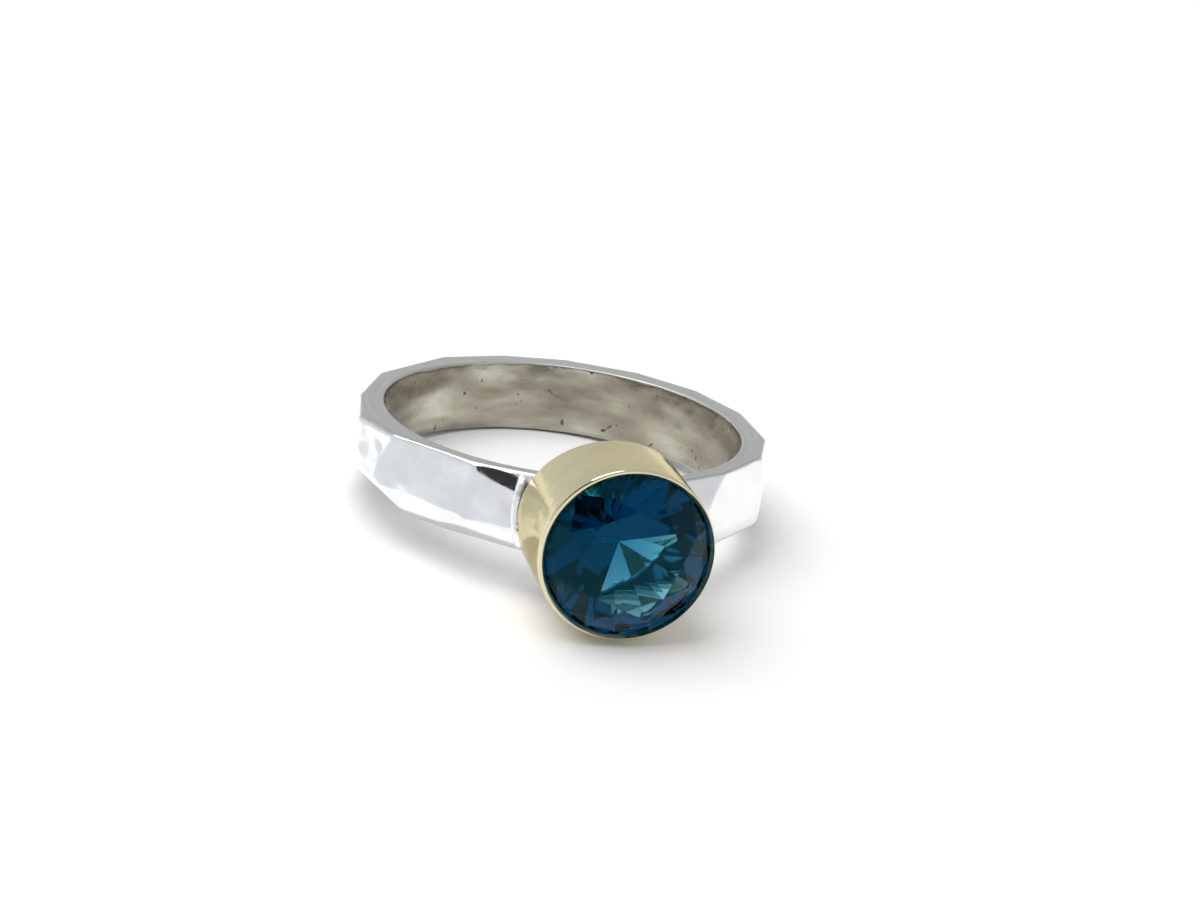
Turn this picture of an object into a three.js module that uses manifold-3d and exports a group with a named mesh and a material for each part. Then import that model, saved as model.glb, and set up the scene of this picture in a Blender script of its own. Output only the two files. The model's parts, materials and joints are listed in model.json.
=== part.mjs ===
// Stackable ring: a hammered silver band that carries a gold tube setting with a round blue stone.
// Millimetres, +Z up. Each piece is drawn in the ring's own frame, with the finger hole along Z and
// the stone facing -Y. At the end the ring is leaned into the pose in which it lies by itself.
import * as THREE from 'three';
import { mergeVertices } from 'three/addons/utils/BufferGeometryUtils.js';
import { ConvexGeometry } from 'three/addons/geometries/ConvexGeometry.js';
import Module from 'manifold-3d';

const wasm = await Module();
wasm.setup();

// ---- Driving dimensions -----------------------------------------------------------------------

const FINGER_RADIUS = 8.65;         // US ring size 7
const BAND_WIDTH = 3.6;             // along the finger
const BLANK_RADIUS = 10.9;          // outside of the band before it is hammered
const HOLE_CHAMFER = 0.12;          // takes the edge off the finger hole
const LIGHT_HOLE_RADIUS = 1.35;     // drilled through the band behind the stone

const TUBE_RADIUS = 3.92;           // outside of the gold tube setting
const TUBE_RISE = 0.1;              // the tube sits this much above the middle of the band
const TUBE_FRONT = 13.9;            // from the ring's axis to the tube's rim
const SADDLE_RADIUS = 10.1;         // the tube's back is filed to this curve, to sit on the band
const BORE_RADIUS = 3.3;            // open back of the tube, behind the stone
const RIM_ROUND = 0.08;             // rounding of the rim's outer edge
const LIP_RADIUS = 3.64;            // inner edge of the lip that is pressed over the stone
const LIP_MOUTH = 3.78;             // radius at which the lip's slope reaches the rim
const LIP_FRONT = 13.7;             // from the ring's axis to the lip's inner edge

const GIRDLE_RADIUS = 3.7;          // the stone is 7.4 mm across
const GIRDLE_THICKNESS = 0.12;
const GIRDLE_FRONT = 13.58;         // from the ring's axis to the front edge of the girdle
const TABLE_RADIUS = 2.28;          // corner of the table facet
const CROWN_ANGLE = 33;
const PAVILION_ANGLE = 41;
const STAR_SHARE = 0.5;             // how far the star facets reach from the table to the girdle
const LOWER_SHARE = 0.78;           // how far the lower girdle facets reach from girdle to point
const SEAT_SHIFT = { across: 0.08, up: -0.05 };   // the seat is bored this far off the tube's axis

const SOLDER_GAP = 0.05;            // clearance between neighbouring pieces

// ---- Hammering --------------------------------------------------------------------------------

// One row for each place where the band was struck, going round from the stone.
// turn: degrees round the ring, 0 at the stone and + towards +X. reach: from the ring's axis to the
// struck face. upper, lower: lean in degrees of the two flats that meet at the crest. crest: height
// of that meeting line. edge: how far the upper edge stands in from the struck face. under: height
// that the lower edge was knocked back.
const STRIKES = [
  { turn: 0,    reach: 10.02, upper: 6,  lower: 6, crest: 0.0,  edge: 0.4,  under: 0.25 },
  { turn: 22,   reach: 9.96,  upper: 9,  lower: 5, crest: -0.5, edge: 0.5,  under: 0.35 },
  { turn: 45,   reach: 9.9,   upper: 11, lower: 7, crest: -0.7, edge: 0.5,  under: 0.4 },
  { turn: 69,   reach: 10.06, upper: 8,  lower: 4, crest: -0.3, edge: 0.4,  under: 0.5 },
  { turn: 91,   reach: 10.0,  upper: 5,  lower: 8, crest: 0.3,  edge: 0.38, under: 0.3 },
  { turn: 112,  reach: 10.1,  upper: 9,  lower: 3, crest: -0.5, edge: 0.4,  under: 0.45 },
  { turn: 134,  reach: 10.14, upper: 4,  lower: 7, crest: 0.2,  edge: 0.4,  under: 0.3 },
  { turn: 156,  reach: 10.1,  upper: 7,  lower: 6, crest: -0.1, edge: 0.38, under: 0.35 },
  { turn: 178,  reach: 10.08, upper: 5,  lower: 5, crest: 0.3,  edge: 0.36, under: 0.3 },
  { turn: -164, reach: 10.07, upper: 6,  lower: 8, crest: 0.0,  edge: 0.38, under: 0.4 },
  { turn: -137, reach: 9.86,  upper: 8,  lower: 4, crest: -0.4, edge: 0.4,  under: 0.3 },
  { turn: -112, reach: 9.89,  upper: 5,  lower: 7, crest: -0.2, edge: 0.39, under: 0.4 },
  { turn: -98,  reach: 10.25, upper: 9,  lower: 5, crest: -0.9, edge: 0.57, under: 0.9 },
  { turn: -66,  reach: 10.55, upper: 17, lower: 5, crest: -0.5, edge: 0.75, under: 0.5 },
  { turn: -46,  reach: 9.9,   upper: 13, lower: 7, crest: -0.7, edge: 0.62, under: 0.5 },
  { turn: -32,  reach: 9.94,  upper: 11, lower: 8, crest: -0.8, edge: 0.62, under: 0.3 },
];
const TOP_EDGE_LEAN = 48;
const UNDER_LEAN = 52;

// Flats where only an edge was struck or filed.
const EDGE_FLATS = [
  { turn: -27, reach: 9.445, height: 1.4,  lean: 27 },
  { turn: -24, reach: 9.315, height: 1.62, lean: 33 },
  { turn: 29,  reach: 9.46,  height: 1.4,  lean: 27 },
  { turn: -84, reach: 10.45, height: 0,    lean: 7 },
  { turn: -76, reach: 10.0,  height: -0.9, lean: -48 },
  { turn: -38, reach: 9.6,   height: -1.4, lean: -50 },
];

// ---- Shared making functions ------------------------------------------------------------------

const radians = THREE.MathUtils.degToRad;

function solidOf(geometry) {
  const bare = geometry.clone();
  bare.deleteAttribute('normal');
  bare.deleteAttribute('uv');
  const merged = mergeVertices(bare, 1e-5);
  return new wasm.Manifold(new wasm.Mesh({
    numProp: 3,
    vertProperties: new Float32Array(merged.attributes.position.array),
    triVerts: new Uint32Array(merged.index.array),
  }));
}

function geometryOf(solid) {
  const mesh = solid.getMesh();
  const geometry = new THREE.BufferGeometry();
  geometry.setAttribute('position', new THREE.BufferAttribute(new Float32Array(mesh.vertProperties), 3));
  geometry.setIndex(new THREE.BufferAttribute(new Uint32Array(mesh.triVerts), 1));
  geometry.computeVertexNormals();
  return geometry;
}

// A turned shape about Z. The profile is a closed run of [radius, height] points.
function turned(profile, segments) {
  const points = profile.map(([radius, height]) => new THREE.Vector2(radius, height));
  points.push(points[0].clone());
  return new THREE.LatheGeometry(points, segments).rotateX(Math.PI / 2);
}

// Turns a shape drawn about Z so that its +Z faces the stone's side, at the tube's height.
function facingFront(geometry) {
  return geometry.rotateX(Math.PI / 2).translate(0, 0, TUBE_RISE);
}

// The same, on the axis of the seat that holds the stone.
function facingSeat(geometry) {
  return facingFront(geometry).translate(SEAT_SHIFT.across, 0, SEAT_SHIFT.up);
}

// ---- Band -------------------------------------------------------------------------------------

// A block whose flat face is one hammer flat: everything outside that flat is taken away.
function hammerFlat({ turn, reach, height, lean }) {
  const block = { across: 16, along: 16, deep: 6 };
  const geometry = new THREE.BoxGeometry(block.across, block.deep, block.along);
  geometry.translate(0, -block.deep / 2, 0);
  geometry.rotateX(radians(-lean));
  geometry.translate(0, -reach, height);
  geometry.rotateZ(radians(turn));
  return solidOf(geometry);
}

// The flats that one strike leaves: two on the face, and one on each edge.
function flatsOf({ turn, reach, upper, lower, crest, edge, under }) {
  const half = BAND_WIDTH / 2;
  const underHeight = under - half;
  const underReach = reach - (crest - underHeight) * Math.tan(radians(lower));
  return [
    { turn, reach, height: crest, lean: upper },
    { turn, reach, height: crest, lean: -lower },
    { turn, reach: reach - edge, height: half, lean: TOP_EDGE_LEAN },
    { turn, reach: underReach, height: underHeight, lean: -UNDER_LEAN },
  ];
}

function tubeRoom() {
  const reach = 6;
  const room = new THREE.CylinderGeometry(TUBE_RADIUS + SOLDER_GAP, TUBE_RADIUS + SOLDER_GAP, reach, 96);
  room.rotateX(Math.PI / 2).translate(0, 0, SADDLE_RADIUS + reach / 2 - 1);
  return solidOf(facingFront(room)).subtract(saddle(SADDLE_RADIUS - SOLDER_GAP));
}

function saddle(radius) {
  const cylinder = new THREE.CylinderGeometry(radius, radius, 3 * TUBE_RADIUS, 240);
  return solidOf(cylinder.rotateX(Math.PI / 2));
}

function lightHole() {
  const drill = new THREE.CylinderGeometry(LIGHT_HOLE_RADIUS, LIGHT_HOLE_RADIUS, 4, 48);
  return solidOf(drill.translate(0, -FINGER_RADIUS, 0));
}

function makeBand() {
  const half = BAND_WIDTH / 2;
  const blank = turned([
    [FINGER_RADIUS, -half + HOLE_CHAMFER],
    [FINGER_RADIUS + HOLE_CHAMFER, -half],
    [BLANK_RADIUS, -half],
    [BLANK_RADIUS, half],
    [FINGER_RADIUS + HOLE_CHAMFER, half],
    [FINGER_RADIUS, half - HOLE_CHAMFER],
  ], 120);
  let band = solidOf(blank);
  for (const flat of [...STRIKES.flatMap(flatsOf), ...EDGE_FLATS]) {
    band = band.subtract(hammerFlat(flat));
  }
  return geometryOf(band.subtract(tubeRoom()).subtract(lightHole()));
}

// ---- Bezel ------------------------------------------------------------------------------------

// The outside of the tube is turned true. The room inside it is bored a little off that axis: the
// open back, the cone that the stone sits on, the groove round its girdle, and the lip's slope.
function makeBezel() {
  const back = SADDLE_RADIUS - 1.4;
  const core = BORE_RADIUS / 2;
  const margin = 0.5;
  const outside = turned([
    [core, back],
    [TUBE_RADIUS, back],
    [TUBE_RADIUS, TUBE_FRONT - RIM_ROUND],
    [TUBE_RADIUS - RIM_ROUND * 0.3, TUBE_FRONT - RIM_ROUND * 0.3],
    [TUBE_RADIUS - RIM_ROUND, TUBE_FRONT],
    [core, TUBE_FRONT],
  ], 96);

  const grooveRadius = GIRDLE_RADIUS + SOLDER_GAP;
  const seatFront = GIRDLE_FRONT - GIRDLE_THICKNESS - SOLDER_GAP;
  const seatDrop = (grooveRadius - BORE_RADIUS) * Math.tan(radians(PAVILION_ANGLE + 1));
  const mouthSlope = (LIP_MOUTH - LIP_RADIUS) / (TUBE_FRONT - LIP_FRONT);
  const room = turned([
    [core - margin, back - margin],
    [BORE_RADIUS, back - margin],
    [BORE_RADIUS, seatFront - seatDrop],
    [grooveRadius, seatFront],
    [grooveRadius, GIRDLE_FRONT + SOLDER_GAP],
    [LIP_RADIUS, LIP_FRONT],
    [LIP_MOUTH + mouthSlope * margin, TUBE_FRONT + margin],
    [core - margin, TUBE_FRONT + margin],
  ], 96);
  const tube = solidOf(facingFront(outside)).subtract(solidOf(facingSeat(room)));
  return geometryOf(tube.subtract(saddle(SADDLE_RADIUS)));
}

// ---- Stone ------------------------------------------------------------------------------------

// A round brilliant: eight table corners, eight star points, a girdle of sixteen sides, eight lower
// points and the bottom point. The facets are the flat faces that these corners span.
function makeStone() {
  const corners = [];
  const at = (radius, turn, front) => {
    corners.push(new THREE.Vector3(radius * Math.cos(turn), radius * Math.sin(turn), front));
  };
  const eighth = Math.PI / 4;
  const sixteenth = Math.PI / 8;
  const crown = Math.tan(radians(CROWN_ANGLE));
  const pavilion = Math.tan(radians(PAVILION_ANGLE));
  const girdleBack = GIRDLE_FRONT - GIRDLE_THICKNESS;
  const tableFront = GIRDLE_FRONT + (GIRDLE_RADIUS - TABLE_RADIUS) * crown;
  const point = girdleBack - GIRDLE_RADIUS * pavilion;
  const starRadius = THREE.MathUtils.lerp(TABLE_RADIUS, GIRDLE_RADIUS, STAR_SHARE);
  const lowerRadius = GIRDLE_RADIUS * (1 - LOWER_SHARE);
  for (let i = 0; i < 8; i += 1) {
    const main = i * eighth;
    const between = main + sixteenth;
    at(TABLE_RADIUS, main, tableFront);
    at(starRadius, between, GIRDLE_FRONT + (GIRDLE_RADIUS - starRadius * Math.cos(sixteenth)) * crown);
    at(lowerRadius, between, point + lowerRadius * Math.cos(sixteenth) * pavilion);
    for (const front of [GIRDLE_FRONT, girdleBack]) {
      at(GIRDLE_RADIUS, main, front);
      at(GIRDLE_RADIUS, between, front);
    }
  }
  at(0, 0, point);
  return facingSeat(new ConvexGeometry(corners));
}

// ---- Assembly ---------------------------------------------------------------------------------

function piece(name, geometry, look) {
  const mesh = new THREE.Mesh(geometry, new THREE.MeshStandardMaterial(look));
  mesh.name = name;
  return mesh;
}

const leaning = new THREE.Group();
leaning.add(
  piece('band', makeBand(), { color: 0xd9dadb, roughness: 0.22, metalness: 1 }),
  piece('bezel', makeBezel(), { color: 0xd8cc93, roughness: 0.15, metalness: 1 }),
  piece('stone', makeStone(), { color: 0x0a4a6a, roughness: 0.03, metalness: 0 }),
);

// The ring rests on the back corner of the tube's underside and on the far lower edge of the band.
const farStrike = STRIKES.find((strike) => strike.turn === 178);
const farDrop = (farStrike.crest + BAND_WIDTH / 2 - farStrike.under) * Math.tan(radians(farStrike.lower));
const farReach = farStrike.reach - farDrop - farStrike.under / Math.tan(radians(90 - UNDER_LEAN));
const restSpan = SADDLE_RADIUS + farReach;
const restRise = TUBE_RADIUS - TUBE_RISE - BAND_WIDTH / 2;
leaning.rotation.x = -Math.atan2(restRise, restSpan);

// The origin is on the table, under the middle of the ring.
const ring = new THREE.Group();
ring.add(leaning);
ring.updateMatrixWorld(true);
const reach = new THREE.Box3().setFromObject(ring, true);
const middle = reach.getCenter(new THREE.Vector3());
ring.position.set(-middle.x, -middle.y, -reach.min.z);
ring.updateMatrixWorld(true);

export default ring;
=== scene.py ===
import json
import math

import bpy
from mathutils import Matrix, Vector


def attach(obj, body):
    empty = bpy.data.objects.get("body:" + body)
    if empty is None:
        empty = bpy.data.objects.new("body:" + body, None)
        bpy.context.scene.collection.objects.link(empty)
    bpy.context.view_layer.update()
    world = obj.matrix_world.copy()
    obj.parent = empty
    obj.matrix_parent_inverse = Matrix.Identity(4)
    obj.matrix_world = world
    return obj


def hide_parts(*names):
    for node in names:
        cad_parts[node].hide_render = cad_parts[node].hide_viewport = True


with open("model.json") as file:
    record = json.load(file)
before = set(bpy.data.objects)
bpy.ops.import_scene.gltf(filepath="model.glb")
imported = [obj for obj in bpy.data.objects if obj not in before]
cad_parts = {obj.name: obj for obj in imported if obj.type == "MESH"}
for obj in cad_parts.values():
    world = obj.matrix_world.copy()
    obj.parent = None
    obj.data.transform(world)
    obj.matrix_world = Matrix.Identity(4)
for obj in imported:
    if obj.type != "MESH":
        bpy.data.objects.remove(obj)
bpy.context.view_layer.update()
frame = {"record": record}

# ---- How the ring lies ------------------------------------------------------------------------
# Every piece is modelled about the ring's centre with the finger hole along Z and the stone facing
# -Y, and is then leaned as the ring lies on the table. The band's two flat sides are mounts in the
# record, and they say how far the ring leans and where its centre is.

MM = 0.001
MOUNT_RADIUS = 9.2 * MM             # the two mounts are this far from the ring's axis

mounts = {mount["name"]: mount for mount in frame["record"]["mounts"]}
ring_axis = Vector(mounts["stack_face_upper"]["axis"])
lean = -math.atan2(ring_axis.y, ring_axis.z)
far_side = Matrix.Rotation(lean, 3, "X") @ Vector((0, 1, 0))
between_mounts = (
    Vector(mounts["stack_face_upper"]["pos_m"]) + Vector(mounts["stack_face_lower"]["pos_m"])
) / 2
ring_centre = between_mounts - MOUNT_RADIUS * far_side


# ---- Band -------------------------------------------------------------------------------------
# The silver band, forged as a plain ring and struck all round with a flat hammer, so that its
# outside is a run of broad flats with soft ridges between them. Its sides are filed flat and left
# satin, its inside is smooth and a little tarnished, and a seat for the tube is filed across it.

FINGER_RADIUS = 8.65 * MM
BAND_WIDTH = 3.6 * MM
BLANK_RADIUS = 10.9 * MM
BLANK_SIDES = 187                   # with 180 or 200, some of the cuts are left unfilled
TUBE_RADIUS = 3.92 * MM
TUBE_RISE = 0.1 * MM
SADDLE_RADIUS = 10.1 * MM           # the tube's back is filed to this curve
CUTTER_LENGTH = 12 * MM             # long enough to pass right through the tube or the band
SOLDER_GAP = 0.05 * MM
LIGHT_HOLE_RADIUS = 1.35 * MM

# One row for each place where the band was struck, in millimetres and degrees. turn: round the
# ring from the stone. reach: from the axis to the struck face. crest: height of the line where its
# two flats meet. upper, lower: how far those two lean back. edge: how far the upper edge stands in.
# under: height that the lower edge was knocked back.
STRIKES = [
    dict(turn=0, reach=10.02, upper=6, lower=6, crest=0.0, edge=0.4, under=0.25),
    dict(turn=22, reach=9.96, upper=9, lower=5, crest=-0.5, edge=0.5, under=0.35),
    dict(turn=45, reach=9.9, upper=11, lower=7, crest=-0.7, edge=0.5, under=0.4),
    dict(turn=69, reach=10.06, upper=8, lower=4, crest=-0.3, edge=0.4, under=0.5),
    dict(turn=91, reach=10.0, upper=5, lower=8, crest=0.3, edge=0.38, under=0.3),
    dict(turn=112, reach=10.1, upper=9, lower=3, crest=-0.5, edge=0.4, under=0.45),
    dict(turn=134, reach=10.14, upper=4, lower=7, crest=0.2, edge=0.4, under=0.3),
    dict(turn=156, reach=10.1, upper=7, lower=6, crest=-0.1, edge=0.38, under=0.35),
    dict(turn=178, reach=10.08, upper=5, lower=5, crest=0.3, edge=0.36, under=0.3),
    dict(turn=-164, reach=10.07, upper=6, lower=8, crest=0.0, edge=0.38, under=0.4),
    dict(turn=-137, reach=9.86, upper=8, lower=4, crest=-0.4, edge=0.4, under=0.3),
    dict(turn=-112, reach=9.89, upper=5, lower=7, crest=-0.2, edge=0.39, under=0.4),
    dict(turn=-98, reach=10.25, upper=9, lower=5, crest=-0.9, edge=0.57, under=0.9),
    dict(turn=-66, reach=10.55, upper=17, lower=5, crest=-0.5, edge=0.75, under=0.5),
    dict(turn=-46, reach=9.9, upper=13, lower=7, crest=-0.7, edge=0.62, under=0.5),
    dict(turn=-32, reach=9.94, upper=11, lower=8, crest=-0.8, edge=0.62, under=0.3),
]
TOP_EDGE_LEAN = 48                  # lean of the flats that each strike leaves on the two edges
UNDER_LEAN = 52

# Flats where only an edge was struck or filed. height: of the point that reach is measured to.
# lean_up: how far the flat leans up, and down where it is negative.
EDGE_FLATS = [
    dict(turn=-27, reach=9.445, height=1.4, lean_up=27),
    dict(turn=-24, reach=9.315, height=1.62, lean_up=33),
    dict(turn=29, reach=9.46, height=1.4, lean_up=27),
    dict(turn=-84, reach=10.45, height=0.0, lean_up=7),
    dict(turn=-76, reach=10.0, height=-0.9, lean_up=-48),
    dict(turn=-38, reach=9.6, height=-1.4, lean_up=-50),
]


def only(piece):
    """Makes this the one selected and active object."""
    bpy.ops.object.select_all(action="DESELECT")
    bpy.context.view_layer.objects.active = piece
    piece.select_set(True)


def started(name):
    """Names the primitive that was just added, and bakes its place into its mesh."""
    piece = bpy.context.object
    piece.name = name
    bpy.ops.object.transform_apply(location=True, rotation=True, scale=True)
    return piece


def add_modifier(piece, kind, **values):
    modifier = piece.modifiers.new(kind.lower(), kind)
    for name, value in values.items():
        setattr(modifier, name, value)
    return modifier


def apply_modifiers(piece):
    only(piece)
    for modifier in list(piece.modifiers):
        bpy.ops.object.modifier_apply(modifier=modifier.name)


def cut_away(piece, cutter):
    add_modifier(piece, "BOOLEAN", operation="DIFFERENCE", object=cutter, solver="EXACT")
    apply_modifiers(piece)
    bpy.data.objects.remove(cutter)


def strike(turn, reach, height, lean_up):
    """Cuts the ring back to one flat: what is outside it is bisected away and the cut filled."""
    turn = math.radians(turn)
    lean_up = math.radians(lean_up)
    out = Vector((math.sin(turn), -math.cos(turn), 0))
    bpy.ops.mesh.select_all(action="SELECT")
    bpy.ops.mesh.bisect(
        plane_co=out * reach * MM + Vector((0, 0, height * MM)),
        plane_no=out * math.cos(lean_up) + Vector((0, 0, math.sin(lean_up))),
        use_fill=True, clear_outer=True, threshold=1e-7,
    )


bpy.ops.object.select_all(action="DESELECT")
bpy.ops.mesh.primitive_circle_add(
    vertices=BLANK_SIDES, radius=FINGER_RADIUS, location=(0, 0, -BAND_WIDTH / 2)
)
band = started("hammered_band")
bpy.ops.object.mode_set(mode="EDIT")
bpy.ops.mesh.select_all(action="SELECT")
bpy.ops.mesh.extrude_region_move()
outwards = BLANK_RADIUS / FINGER_RADIUS
bpy.ops.transform.resize(value=(outwards, outwards, 1), center_override=(0, 0, 0))
bpy.ops.mesh.select_all(action="SELECT")
bpy.ops.mesh.extrude_region_move(TRANSFORM_OT_translate={"value": (0, 0, BAND_WIDTH)})
bpy.ops.mesh.select_all(action="SELECT")
bpy.ops.mesh.normals_make_consistent(inside=False)
half = BAND_WIDTH / MM / 2
for row in STRIKES:
    under_height = row["under"] - half
    under_reach = row["reach"] - (row["crest"] - under_height) * math.tan(math.radians(row["lower"]))
    strike(row["turn"], row["reach"], row["crest"], row["upper"])
    strike(row["turn"], row["reach"], row["crest"], -row["lower"])
    strike(row["turn"], row["reach"] - row["edge"], half, TOP_EDGE_LEAN)
    strike(row["turn"], under_reach, under_height, -UNDER_LEAN)
for row in EDGE_FLATS:
    strike(**row)
bpy.ops.object.mode_set(mode="OBJECT")
struck_band = band.data.copy()      # its outside, before the tube's seat is cut, shapes the solder

# the seat for the tube: a round flat that follows the tube's own saddle
bpy.ops.object.select_all(action="DESELECT")
bpy.ops.mesh.primitive_cylinder_add(
    vertices=192, radius=TUBE_RADIUS + SOLDER_GAP, depth=6 * MM, location=(0, -12 * MM, TUBE_RISE),
    rotation=(math.radians(90), 0, 0),
)
seat = started("seat")
bpy.ops.mesh.primitive_cylinder_add(
    vertices=256, radius=SADDLE_RADIUS - SOLDER_GAP, depth=CUTTER_LENGTH
)
cut_away(seat, started("saddle"))
cut_away(band, seat)

# behind the stone the band is drilled through, to let light in
bpy.ops.object.select_all(action="DESELECT")
bpy.ops.mesh.primitive_cylinder_add(
    vertices=96, radius=LIGHT_HOLE_RADIUS, depth=6 * MM, location=(0, -9 * MM, 0),
    rotation=(math.radians(90), 0, 0),
)
cut_away(band, started("light_hole"))

# the ridges and edges are worn soft: a fine even mesh, relaxed a little
add_modifier(band, "REMESH", mode="VOXEL", voxel_size=0.085 * MM)
add_modifier(band, "SMOOTH", factor=0.5, iterations=9)
apply_modifiers(band)

# the flats are a little uneven, and the inside keeps a ripple from the forging
flats = band.vertex_groups.new(name="flats")
for vertex in band.data.vertices:
    upright = 1 - abs(vertex.normal.z)
    away_from_sides = abs(vertex.co.z) < 0.47 * BAND_WIDTH
    if upright > 0.4 and away_from_sides:
        flats.add([vertex.index], upright, "REPLACE")
for name, size, depth in (("hammer_dents", 2.1, 0.1), ("hammer_ripple", 0.9, 0.03)):
    ripple = bpy.data.textures.new(name, "CLOUDS")
    ripple.noise_scale = size * MM
    ripple.noise_depth = 1
    add_modifier(
        band, "DISPLACE", texture=ripple, strength=depth * MM, mid_level=0.5, vertex_group="flats"
    )
apply_modifiers(band)
bpy.ops.object.shade_smooth()


def add_node(tree, kind, **values):
    """A node with its inputs and settings given by name, spaces written as underscores."""
    node = tree.nodes.new("ShaderNode" + kind)
    for name, value in values.items():
        socket = node.inputs.get(name.replace("_", " "))
        if socket is not None:
            socket.default_value = value
        else:
            setattr(node, name, value)
    return node


def add_math(tree, operation, a, b=0.0, c=0.0):
    """A Math node; each of a, b and c is a number or an output."""
    node = add_node(tree, "Math", operation=operation)
    for socket, value in zip(node.inputs, (a, b, c)):
        if isinstance(value, (int, float)):
            socket.default_value = value
        else:
            tree.links.new(value, socket)
    return node.outputs["Value"]


def add_ramp(tree, factor, stops):
    ramp = add_node(tree, "ValToRGB")
    while len(ramp.color_ramp.elements) < len(stops):
        ramp.color_ramp.elements.new(1.0)
    for element, (place, colour) in zip(ramp.color_ramp.elements, stops):
        element.position = place
        element.color = (*colour, 1)
    tree.links.new(factor, ramp.inputs["Fac"])
    return ramp.outputs["Color"]


def add_range(tree, value, low, high, to_low=0.0, to_high=1.0):
    node = add_node(tree, "MapRange", From_Min=low, From_Max=high, To_Min=to_low, To_Max=to_high)
    tree.links.new(value, node.inputs["Value"])
    return node.outputs["Result"]


def add_noise(tree, vector, scale, detail=2.0, roughness=0.5):
    noise = add_node(tree, "TexNoise", Scale=scale, Detail=detail, Roughness=roughness)
    tree.links.new(vector, noise.inputs["Vector"])
    return noise.outputs["Fac"]


def add_mix(tree, factor, a, b):
    """A blend of two colours; each of them is a colour or an output."""
    node = add_node(tree, "Mix", data_type="RGBA")
    tree.links.new(factor, node.inputs["Factor"])
    for socket, value in zip([s for s in node.inputs if s.type == "RGBA"], (a, b)):
        if isinstance(value, tuple):
            socket.default_value = (*value, 1)
        else:
            tree.links.new(value, socket)
    return [s for s in node.outputs if s.type == "RGBA"][0]


def new_group(name, inputs, outputs):
    """An empty node group. inputs and outputs are pairs of a name and a socket type."""
    group = bpy.data.node_groups.new(name, "ShaderNodeTree")
    for label, kind in inputs:
        group.interface.new_socket(label, in_out="INPUT", socket_type="NodeSocket" + kind)
    for label, kind in outputs:
        group.interface.new_socket(label, in_out="OUTPUT", socket_type="NodeSocket" + kind)
    return group, group.nodes.new("NodeGroupInput"), group.nodes.new("NodeGroupOutput")


def place_group(tree, group, vector, **values):
    node = add_node(tree, "Group", node_tree=group)
    for name, value in values.items():
        node.inputs[name.replace("_", " ")].default_value = value
    tree.links.new(vector, node.inputs["Vector"])
    return node


def new_material(name):
    material = bpy.data.materials.new(name)
    material.use_nodes = True
    return material, material.node_tree, material.node_tree.nodes["Principled BSDF"]


def ring_coordinates(tree):
    """Object coordinates turned back into the ring's own frame, in millimetres."""
    place = add_node(tree, "TexCoord").outputs["Object"]
    back = (Matrix.Rotation(-lean, 4, "X") @ Matrix.Translation(-ring_centre)).translation
    mapping = add_node(
        tree, "Mapping", Location=tuple(c / MM for c in back), Rotation=(-lean, 0, 0),
        Scale=(1 / MM,) * 3,
    )
    tree.links.new(place, mapping.inputs["Vector"])
    return mapping.outputs["Vector"]


def finish_piece(piece, material, node=None):
    """Leans the piece as the ring lies, and gives it its finish and its place in the frame."""
    only(piece)
    piece.matrix_world = Matrix.Translation(ring_centre) @ Matrix.Rotation(lean, 4, "X")
    bpy.ops.object.transform_apply(location=True, rotation=True, scale=True)
    piece.data.materials.clear()
    piece.data.materials.append(material)
    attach(piece, "root")
    if node:
        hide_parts(node)


# Polishing scratches: two sets of hair-fine lines that cross, where the cloth and paper have been.
# Height feeds a bump, and Lines marks them for the roughness.
fine_scratches, entry, leave = new_group(
    "fine_scratches", [("Vector", "Vector"), ("Density", "Float")],
    [("Height", "Float"), ("Lines", "Float")],
)
lines = []
for turn, squeeze in ((0.4, (1.2, 34, 1.2)), (-0.9, (38, 1.0, 1.0))):
    stretch = add_node(fine_scratches, "Mapping", Rotation=(turn, 0.5 * turn, turn), Scale=squeeze)
    fine_scratches.links.new(entry.outputs["Vector"], stretch.inputs["Vector"])
    grain = add_noise(fine_scratches, stretch.outputs["Vector"], 1.0, detail=3.0, roughness=0.65)
    lines.append(add_range(fine_scratches, grain, 0.58, 0.72))
both = add_math(fine_scratches, "MAXIMUM", *lines)
patchy = add_noise(fine_scratches, entry.outputs["Vector"], 0.35)
both = add_math(fine_scratches, "MULTIPLY", both, add_range(fine_scratches, patchy, 0.4, 0.65))
both = add_math(fine_scratches, "MULTIPLY", both, entry.outputs["Density"])
fine_scratches.links.new(both, leave.inputs["Lines"])
fine_scratches.links.new(add_math(fine_scratches, "MULTIPLY", both, -1.0), leave.inputs["Height"])

# Bloom: the soft patches where a polish is a little duller from handling.
polish_bloom, entry, leave = new_group(
    "polish_bloom", [("Vector", "Vector"), ("Bright", "Float"), ("Dull", "Float")],
    [("Roughness", "Float")],
)
smear = add_noise(polish_bloom, entry.outputs["Vector"], 0.6, detail=4.0, roughness=0.6)
smear = add_range(polish_bloom, smear, 0.35, 0.7)
spread = add_math(polish_bloom, "SUBTRACT", entry.outputs["Dull"], entry.outputs["Bright"])
polish_bloom.links.new(
    add_math(polish_bloom, "MULTIPLY_ADD", smear, spread, entry.outputs["Bright"]),
    leave.inputs["Roughness"],
)

UNROLL_RADIUS = 9.0                 # in millimetres: round the ring, textures are unrolled here

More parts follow.
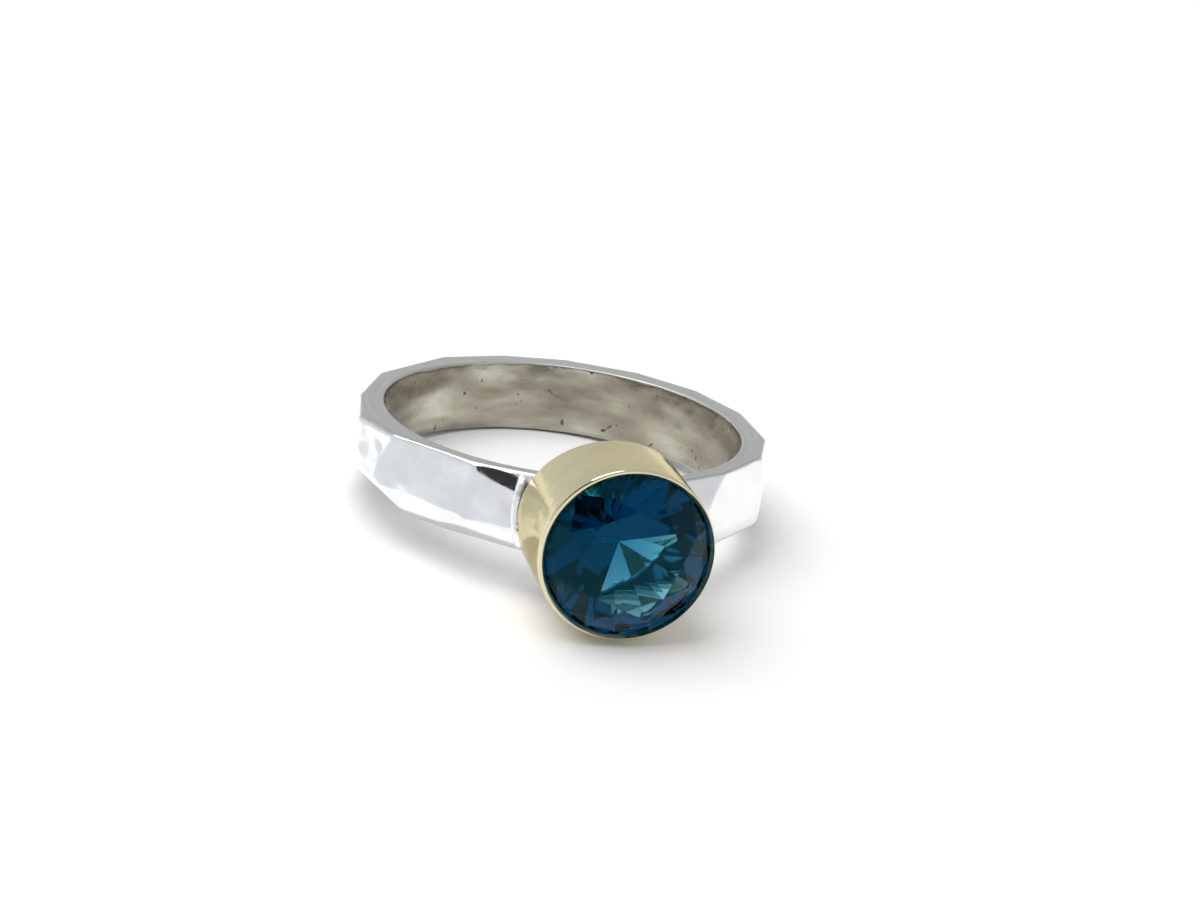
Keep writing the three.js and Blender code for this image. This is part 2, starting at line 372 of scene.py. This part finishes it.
silver, tree, shader = new_material("hammered_silver")
place = ring_coordinates(tree)
axes = add_node(tree, "SeparateXYZ")
tree.links.new(place, axes.inputs["Vector"])
across, along, height = axes.outputs
radius = add_math(tree, "SQRT", add_math(
    tree, "ADD", add_math(tree, "MULTIPLY", across, across), add_math(tree, "MULTIPLY", along, along)
))
angle = add_math(tree, "ARCTAN2", across, along)
round_the_ring = add_math(tree, "MULTIPLY", angle, UNROLL_RADIUS)
unrolled = add_node(tree, "CombineXYZ")
for value, socket in zip((round_the_ring, height, radius), unrolled.inputs):
    tree.links.new(value, socket)
unrolled = unrolled.outputs["Vector"]
inside = add_range(tree, radius, 8.95, 8.78)
side = add_range(tree, add_math(tree, "ABSOLUTE", height), 1.68, 1.76)

# inside: grey-brown tarnish, drawn out round the finger, with a few dark pits
streak_place = add_node(tree, "Mapping", Scale=(0.16, 0.5, 0.3))
tree.links.new(unrolled, streak_place.inputs["Vector"])
streaks = add_noise(tree, streak_place.outputs["Vector"], 1.6, detail=4.0, roughness=0.45)
tarnish = add_ramp(tree, streaks, [
    (0.3, (0.26, 0.235, 0.18)), (0.46, (0.36, 0.335, 0.27)), (0.56, (0.46, 0.435, 0.35)),
    (0.72, (0.68, 0.66, 0.58)),
])
pitted = add_range(tree, add_noise(tree, place, 2.6, detail=1.0), 0.72, 0.75)
tarnish = add_mix(tree, pitted, tarnish, (0.13, 0.115, 0.09))

# sides: filed and left satin, with fine lines round the ring
file_place = add_node(tree, "Mapping", Scale=(0.25, 1.0, 22.0))
tree.links.new(unrolled, file_place.inputs["Vector"])
filing = add_noise(tree, file_place.outputs["Vector"], 1.0, detail=3.0)
satin = add_ramp(tree, filing, [(0.3, (0.43, 0.437, 0.425)), (0.7, (0.58, 0.587, 0.57))])

# outside: bright, with patches that are a little darker and cooler
bright = add_ramp(tree, add_noise(tree, place, 0.7, detail=3.0), [
    (0.35, (0.88, 0.885, 0.9)), (0.65, (0.955, 0.955, 0.955)),
])
colour = add_mix(tree, inside, bright, tarnish)
colour = add_mix(tree, side, colour, satin)
tree.links.new(colour, shader.inputs["Base Color"])
shader.inputs["Metallic"].default_value = 1.0

bloom = place_group(tree, polish_bloom, place, Bright=0.05, Dull=0.16)
scratches = place_group(tree, fine_scratches, place, Density=1.0)
rough = add_math(tree, "MULTIPLY_ADD", scratches.outputs["Lines"], 0.12, bloom.outputs["Roughness"])
rough = add_math(tree, "MULTIPLY_ADD", inside, 0.16, rough)
rough = add_math(tree, "MULTIPLY_ADD", side, 0.24, rough)
tree.links.new(rough, shader.inputs["Roughness"])
relief = add_math(tree, "MULTIPLY", scratches.outputs["Height"], 0.25)
relief = add_math(tree, "MULTIPLY_ADD", add_math(tree, "MULTIPLY", side, filing), 0.8, relief)
relief = add_math(tree, "MULTIPLY_ADD", add_math(tree, "MULTIPLY", inside, streaks), 6.0, relief)
bump = add_node(tree, "Bump", Strength=0.35, Distance=0.02 * MM)
tree.links.new(relief, bump.inputs["Height"])
tree.links.new(bump.outputs["Normal"], shader.inputs["Normal"])
finish_piece(band, silver, "band")


# ---- Tube setting -----------------------------------------------------------------------------
# A length of gold tube, turned and bored to take the stone. Its back is filed to a saddle and
# soldered to the band, and its rim is pressed over the edge of the stone and burnished round.

GIRDLE_RADIUS = 3.7 * MM
GIRDLE_FRONT = 13.58 * MM
GIRDLE_THICKNESS = 0.12 * MM
SEAT_SHIFT = Vector((0.08, -0.05, 0)) * MM      # the seat was bored this far off the tube's axis

# The tube's section, from the open back, up the outside, over the rim, down the burnished slope to
# the lip, and down the groove and the cone that hold the stone. Each row has the radius and the
# distance from the ring's axis, in millimetres, and the share of the seat's shift that it takes.
TUBE_SECTION = [
    (3.3, 8.7, 0), (3.92, 8.7, 0), (3.92, 11.4, 0), (3.92, 13.7, 0), (3.912, 13.79, 0),
    (3.89, 13.86, 0), (3.855, 13.893, 0.2), (3.82, 13.893, 0.6), (3.79, 13.87, 0.9),
    (3.7, 13.78, 1), (3.665, 13.73, 1), (3.645, 13.69, 1), (3.64, 13.66, 1), (3.66, 13.635, 1),
    (3.75, 13.61, 1), (3.75, 13.42, 1), (3.3, 13.07, 1),
]

bpy.ops.object.select_all(action="DESELECT")
first_radius, first_front, _ = TUBE_SECTION[0]
bpy.ops.mesh.primitive_circle_add(
    vertices=192, radius=first_radius * MM, location=(0, 0, first_front * MM)
)
bezel = started("tube_setting")
bpy.ops.object.mode_set(mode="EDIT")
bpy.ops.mesh.select_all(action="SELECT")
for (radius_was, front_was, share_was), (radius_now, front_now, share_now) in zip(
    TUBE_SECTION, TUBE_SECTION[1:] + TUBE_SECTION[:1]
):
    rise = Vector((0, 0, (front_now - front_was) * MM))
    bpy.ops.mesh.extrude_region_move(
        TRANSFORM_OT_translate={"value": rise + SEAT_SHIFT * (share_now - share_was)}
    )
    grow = radius_now / radius_was
    bpy.ops.transform.resize(value=(grow, grow, 1), center_override=SEAT_SHIFT * share_now)
bpy.ops.mesh.select_all(action="SELECT")
bpy.ops.mesh.remove_doubles(threshold=1e-7)
bpy.ops.mesh.normals_make_consistent(inside=False)
bpy.ops.transform.rotate(value=math.radians(-90), orient_axis="X", center_override=(0, 0, 0))
bpy.ops.transform.translate(value=(0, 0, TUBE_RISE))
bpy.ops.object.mode_set(mode="OBJECT")
bpy.ops.object.select_all(action="DESELECT")
bpy.ops.mesh.primitive_cylinder_add(vertices=256, radius=SADDLE_RADIUS, depth=CUTTER_LENGTH)
cut_away(bezel, started("saddle"))
only(bezel)
bpy.ops.object.shade_smooth_by_angle(angle=math.radians(40))

gold, tree, shader = new_material("pale_gold")
place = ring_coordinates(tree)
tone = add_ramp(tree, add_noise(tree, place, 0.5, detail=3.0), [
    (0.35, (0.71, 0.66, 0.46)), (0.65, (0.77, 0.715, 0.5)),
])
tree.links.new(tone, shader.inputs["Base Color"])
shader.inputs["Metallic"].default_value = 1.0
shader.inputs["Specular Tint"].default_value = (0.85, 0.78, 0.6, 1)
bloom = place_group(tree, polish_bloom, place, Bright=0.07, Dull=0.2)
scratches = place_group(tree, fine_scratches, place, Density=0.9)
rough = add_math(tree, "MULTIPLY_ADD", scratches.outputs["Lines"], 0.15, bloom.outputs["Roughness"])
tree.links.new(rough, shader.inputs["Roughness"])
bump = add_node(tree, "Bump", Strength=0.35, Distance=0.02 * MM)
relief = add_math(tree, "MULTIPLY", add_noise(tree, place, 1.3), 3.0)
relief = add_math(tree, "MULTIPLY_ADD", scratches.outputs["Height"], 0.25, relief)
tree.links.new(relief, bump.inputs["Height"])
tree.links.new(bump.outputs["Normal"], shader.inputs["Normal"])
finish_piece(bezel, gold, "bezel")


# ---- Solder seam ------------------------------------------------------------------------------
# Silver solder that ran round the joint of tube and band. It was left as a soft white bead on both
# sides of the tube, as wide as the band.

SEAM_REACH = 0.24 * MM              # how far it runs out from the tube
SEAM_RISE = 0.15 * MM               # how far it stands above the band
SEAM_ROOT = 0.06 * MM               # how far it goes into the band and into the tube
SEAM_END = 1.66 * MM                # it stops short of the band's sides


def swollen_band(name, amount):
    """A copy of the struck band with its face moved outwards by an amount."""
    copy = bpy.data.objects.new(name, struck_band.copy())
    bpy.context.collection.objects.link(copy)
    only(copy)
    bpy.ops.object.mode_set(mode="EDIT")
    bpy.ops.mesh.select_all(action="SELECT")
    grow = 1 + amount / SADDLE_RADIUS
    bpy.ops.transform.resize(value=(grow, grow, 1), center_override=(0, 0, 0))
    bpy.ops.object.mode_set(mode="OBJECT")
    return copy


def tube_plug(name, radius):
    """A solid rod on the tube's axis."""
    bpy.ops.object.select_all(action="DESELECT")
    bpy.ops.mesh.primitive_cylinder_add(
        vertices=192, radius=radius, depth=6 * MM, location=(0, -11.5 * MM, TUBE_RISE),
        rotation=(math.radians(90), 0, 0),
    )
    return started(name)


seam = tube_plug("solder_seam", TUBE_RADIUS + SEAM_REACH)
cut_away(seam, tube_plug("core", TUBE_RADIUS - SEAM_ROOT))
stock = swollen_band("stock", SEAM_RISE)
add_modifier(seam, "BOOLEAN", operation="INTERSECT", object=stock, solver="EXACT")
apply_modifiers(seam)
bpy.data.objects.remove(stock)
cut_away(seam, swollen_band("root", -SEAM_ROOT))
only(seam)
bpy.ops.object.mode_set(mode="EDIT")
for end in (-1, 1):
    bpy.ops.mesh.select_all(action="SELECT")
    bpy.ops.mesh.bisect(
        plane_co=(0, 0, end * SEAM_END), plane_no=(0, 0, end), use_fill=True, clear_outer=True
    )
bpy.ops.object.mode_set(mode="OBJECT")
add_modifier(seam, "REMESH", mode="VOXEL", voxel_size=0.04 * MM)
add_modifier(seam, "SMOOTH", factor=0.5, iterations=25)
apply_modifiers(seam)
bpy.ops.object.shade_smooth()

solder, tree, shader = new_material("silver_solder")
place = ring_coordinates(tree)
pits = add_range(tree, add_noise(tree, place, 3.0, detail=3.0), 0.62, 0.7)
tree.links.new(add_mix(tree, pits, (0.93, 0.935, 0.93), (0.5, 0.48, 0.45)), shader.inputs["Base Color"])
shader.inputs["Metallic"].default_value = 1.0
bloom = place_group(tree, polish_bloom, place, Bright=0.22, Dull=0.4)
tree.links.new(bloom.outputs["Roughness"], shader.inputs["Roughness"])
bump = add_node(tree, "Bump", Strength=0.4, Distance=0.02 * MM)
tree.links.new(add_noise(tree, place, 5.0, detail=3.0), bump.inputs["Height"])
tree.links.new(bump.outputs["Normal"], shader.inputs["Normal"])
finish_piece(seam, solder)


# ---- Stone ------------------------------------------------------------------------------------
# A round brilliant of deep blue topaz: eight main facets, eight stars and sixteen girdle facets on
# the crown, and eight mains and sixteen girdle facets below, ground flat and polished.

TABLE_RADIUS = 2.28 * MM
CROWN_SLOPE = math.tan(math.radians(33))
PAVILION_SLOPE = math.tan(math.radians(41))
STAR_SHARE = 0.5
LOWER_SHARE = 0.78
EIGHTH = math.radians(45)
SIXTEENTH = math.radians(22.5)

girdle_back = GIRDLE_FRONT - GIRDLE_THICKNESS
table_front = GIRDLE_FRONT + (GIRDLE_RADIUS - TABLE_RADIUS) * CROWN_SLOPE
point_front = girdle_back - GIRDLE_RADIUS * PAVILION_SLOPE
star_radius = TABLE_RADIUS + (GIRDLE_RADIUS - TABLE_RADIUS) * STAR_SHARE
star_front = GIRDLE_FRONT + (GIRDLE_RADIUS - star_radius * math.cos(SIXTEENTH)) * CROWN_SLOPE
lower_radius = GIRDLE_RADIUS * (1 - LOWER_SHARE)
lower_front = point_front + lower_radius * math.cos(SIXTEENTH) * PAVILION_SLOPE


def corner(radius, turn, front):
    return Vector((radius * math.cos(turn), radius * math.sin(turn), front))


def grind(a, b, c):
    """Grinds one facet: everything outside the plane through three corners is taken off."""
    outward = (b - a).cross(c - a).normalized()
    if outward.dot((a + b + c) / 3 - Vector((0, 0, girdle_back))) < 0:
        outward.negate()
    bpy.ops.mesh.select_all(action="SELECT")
    bpy.ops.mesh.bisect(
        plane_co=a, plane_no=outward, use_fill=True, clear_outer=True, threshold=1e-8
    )


bpy.ops.object.select_all(action="DESELECT")
bpy.ops.mesh.primitive_cylinder_add(
    vertices=64, radius=GIRDLE_RADIUS, depth=table_front - point_front,
    location=(0, 0, (table_front + point_front) / 2),
)
stone = started("brilliant_stone")
bpy.ops.object.mode_set(mode="EDIT")
for i in range(8):
    main, between, after = i * EIGHTH, i * EIGHTH + SIXTEENTH, (i + 1) * EIGHTH
    table_corner = corner(TABLE_RADIUS, main, table_front)
    next_corner = corner(TABLE_RADIUS, after, table_front)
    star_point = corner(star_radius, between, star_front)
    lower_point = corner(lower_radius, between, lower_front)
    bottom = Vector((0, 0, point_front))
    rim = {turn: corner(GIRDLE_RADIUS, turn, GIRDLE_FRONT) for turn in (main, between, after)}
    rim_back = {turn: corner(GIRDLE_RADIUS, turn, girdle_back) for turn in (main, between, after)}
    grind(table_corner, rim[main], star_point)
    grind(table_corner, next_corner, star_point)
    grind(star_point, rim[main], rim[between])
    grind(star_point, rim[between], rim[after])
    grind(bottom, rim_back[main], lower_point)
    grind(lower_point, rim_back[main], rim_back[between])
    grind(lower_point, rim_back[between], rim_back[after])
bpy.ops.mesh.select_all(action="SELECT")
bpy.ops.mesh.remove_doubles(threshold=2e-6)
bpy.ops.mesh.dissolve_limited(angle_limit=math.radians(0.05))
bpy.ops.mesh.normals_make_consistent(inside=False)
bpy.ops.transform.translate(value=SEAT_SHIFT)
bpy.ops.transform.rotate(value=math.radians(-90), orient_axis="X", center_override=(0, 0, 0))
bpy.ops.transform.translate(value=(0, 0, TUBE_RISE))
bpy.ops.object.mode_set(mode="OBJECT")

blue, tree, shader = new_material("blue_topaz")
shader.inputs["Base Color"].default_value = (0.97, 0.99, 1.0, 1)
shader.inputs["Roughness"].default_value = 0.0
shader.inputs["IOR"].default_value = 1.62
shader.inputs["Specular Tint"].default_value = (0.05, 0.4, 0.55, 1)
shader.inputs["Transmission Weight"].default_value = 1.0
depth = add_node(tree, "VolumeAbsorption", Color=(0.05, 0.56, 0.7, 1), Density=900.0)
tree.links.new(depth.outputs["Volume"], tree.nodes["Material Output"].inputs["Volume"])
finish_piece(stone, blue, "stone")


# ---- Table, light and camera ------------------------------------------------------------------
# A white table under an even white tent, a little darker overhead, with one soft lamp. A dark card
# stands behind the camera, and the metal reflects it as a dark streak.

bpy.ops.object.select_all(action="DESELECT")
bpy.ops.mesh.primitive_plane_add(size=3, location=(0, 0, 0))
table = bpy.context.object
table.name = "table"
white, tree, shader = new_material("white_table")
shader.inputs["Base Color"].default_value = (0.93, 0.93, 0.93, 1)
shader.inputs["Roughness"].default_value = 0.7
table.data.materials.append(white)

world = bpy.data.worlds.new("studio")
bpy.context.scene.world = world
world.use_nodes = True
tree = world.node_tree
direction = add_node(tree, "TexCoord").outputs["Generated"]
axes = add_node(tree, "SeparateXYZ")
tree.links.new(direction, axes.inputs["Vector"])
sky = add_ramp(tree, axes.outputs["Z"], [
    (0.0, (0.78, 0.81, 0.84)), (0.15, (0.73, 0.745, 0.77)), (0.4, (0.65, 0.65, 0.65)),
    (1.0, (0.6, 0.6, 0.6)),
])
tree.links.new(sky, tree.nodes["Background"].inputs["Color"])
tree.nodes["Background"].inputs["Strength"].default_value = 1.0
bpy.context.scene.view_settings.view_transform = "Standard"


def facing_ring(place):
    """The rotation of a lamp or a card that stands at this place and faces the ring."""
    return (Vector(place) - ring_centre).to_track_quat("Z", "Y").to_euler()


LAMP_PLACE = (-0.4, 0.05, 0.85)
bpy.ops.object.select_all(action="DESELECT")
bpy.ops.object.light_add(type="AREA", location=LAMP_PLACE, rotation=facing_ring(LAMP_PLACE))
lamp = bpy.context.object
lamp.name = "overhead"
lamp.data.shape = "DISK"
lamp.data.size = 1.0
lamp.data.energy = 7.2
lamp.visible_camera = False

CARD_PLACE = (-0.095, -0.22, 0.15)
bpy.ops.object.select_all(action="DESELECT")
bpy.ops.mesh.primitive_plane_add(size=1, location=CARD_PLACE, rotation=facing_ring(CARD_PLACE))
card = bpy.context.object
card.name = "dark_card"
card.scale = (0.26, 0.18, 1)
dark, tree, shader = new_material("dark_card")
shader.inputs["Base Color"].default_value = (0.012, 0.012, 0.014, 1)
shader.inputs["Roughness"].default_value = 0.8
card.data.materials.append(dark)
card.visible_camera = False


def add_camera(aim, azimuth, elevation, roll, distance, lens):
    """A camera that looks at aim. azimuth: 0 looks along +Y, and + stands further to the left."""
    azimuth = math.radians(azimuth)
    elevation = math.radians(elevation)
    away = Vector((
        -math.sin(azimuth) * math.cos(elevation),
        -math.cos(azimuth) * math.cos(elevation),
        math.sin(elevation),
    ))
    level = away.to_track_quat("Z", "Y").to_matrix()
    turned = level @ Matrix.Rotation(math.radians(roll), 3, "Z")
    bpy.ops.object.select_all(action="DESELECT")
    bpy.ops.object.camera_add(location=aim + distance * away, rotation=turned.to_euler())
    camera = bpy.context.object
    camera.name = "camera"
    camera.data.lens = lens
    camera.data.sensor_width = 36
    camera.data.clip_start = 5 * MM
    camera.data.clip_end = 20
    bpy.context.scene.camera = camera


add_camera(
    aim=ring_centre + Vector((1.917, -0.404, 0.346)) * MM,
    azimuth=16.31, elevation=23.56, roll=9.68, distance=109.26 * MM, lens=67.7,
)
